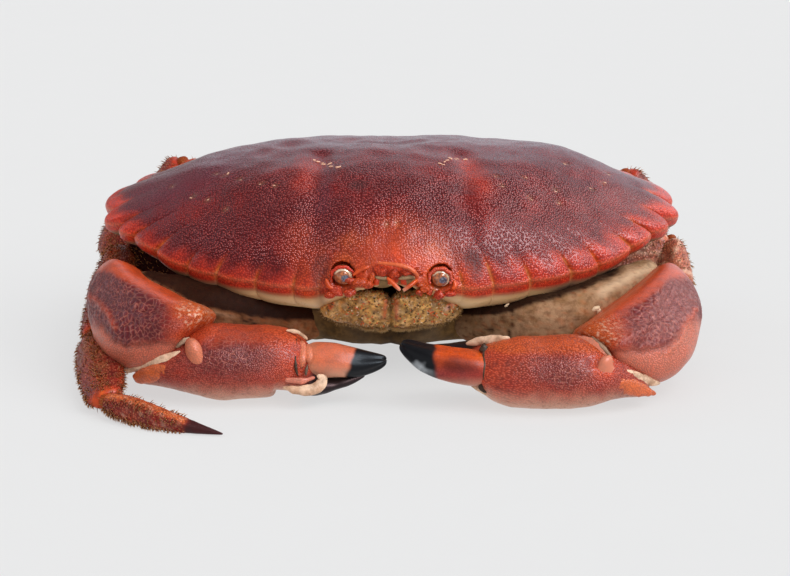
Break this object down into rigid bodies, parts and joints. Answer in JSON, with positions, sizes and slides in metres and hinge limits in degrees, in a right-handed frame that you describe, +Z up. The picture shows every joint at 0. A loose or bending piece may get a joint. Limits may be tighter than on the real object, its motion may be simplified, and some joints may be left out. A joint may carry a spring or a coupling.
{
  "type": "cooked crab",
  "caption": "Whole cooked brown crab with a broad scalloped shell, resting on claws folded in front and legs tucked underneath.",
  "frame": {"origin": "on the table, under the middle of the crab's bounding box", "axes": "+X to the right as seen from in front, which is the crab's own left; -Y forwards, the way the face points; +Z up. Left and right in the node names are as seen from in front."},
  "size_m": [0.178, 0.1638, 0.0612],
  "materials": {
    "carapace_shell": "moist grainy shell, maroon to orange-red",
    "claw_shell": "smooth shell, salmon with purple-brown marbling",
    "claw_finger": "smooth shell, orange-brown with black tips",
    "leg_shell": "rough bristly shell, red-brown",
    "belly": "cream shell with brown stains",
    "mouth": "tan, fuzzy and damp",
    "eye": "wet cornea, cream round a dark middle",
    "feeler": "smooth, red-orange"
  },
  "bodies": {
    "root": {"carapace": "carapace_shell", "thorax": "belly", "tail": "belly", "eye_left": "eye", "eye_right": "eye", "mouth_plate_left": "mouth", "mouth_plate_right": "mouth", "feeler_long": "feeler", "feeler_short_left": "feeler", "feeler_short_right": "feeler", "arm_left": "belly", "wrist_left": "claw_shell", "palm_left": "claw_shell", "finger_left": "claw_finger", "arm_right": "belly", "wrist_right": "claw_shell", "palm_right": "claw_shell", "finger_right": "claw_finger", "leg1_left_thigh": "leg_shell", "leg1_left_knee": "leg_shell", "leg1_left_shank": "leg_shell", "leg1_left_toe": "leg_shell", "leg2_left_thigh": "leg_shell", "leg2_left_knee": "leg_shell", "leg2_left_shank": "leg_shell", "leg2_left_toe": "leg_shell", "leg3_left_thigh": "leg_shell", "leg3_left_knee": "leg_shell", "leg3_left_shank": "leg_shell", "leg3_left_toe": "leg_shell", "leg4_left_thigh": "leg_shell", "leg4_left_knee": "leg_shell", "leg4_left_shank": "leg_shell", "leg4_left_toe": "leg_shell", "leg1_right_thigh": "leg_shell", "leg1_right_knee": "leg_shell", "leg1_right_shank": "leg_shell", "leg1_right_toe": "leg_shell", "leg2_right_thigh": "leg_shell", "leg2_right_knee": "leg_shell", "leg2_right_shank": "leg_shell", "leg2_right_toe": "leg_shell", "leg3_right_thigh": "leg_shell", "leg3_right_knee": "leg_shell", "leg3_right_shank": "leg_shell", "leg3_right_toe": "leg_shell", "leg4_right_thigh": "leg_shell", "leg4_right_knee": "leg_shell", "leg4_right_shank": "leg_shell", "leg4_right_toe": "leg_shell"}
  },
  "joints": []
}
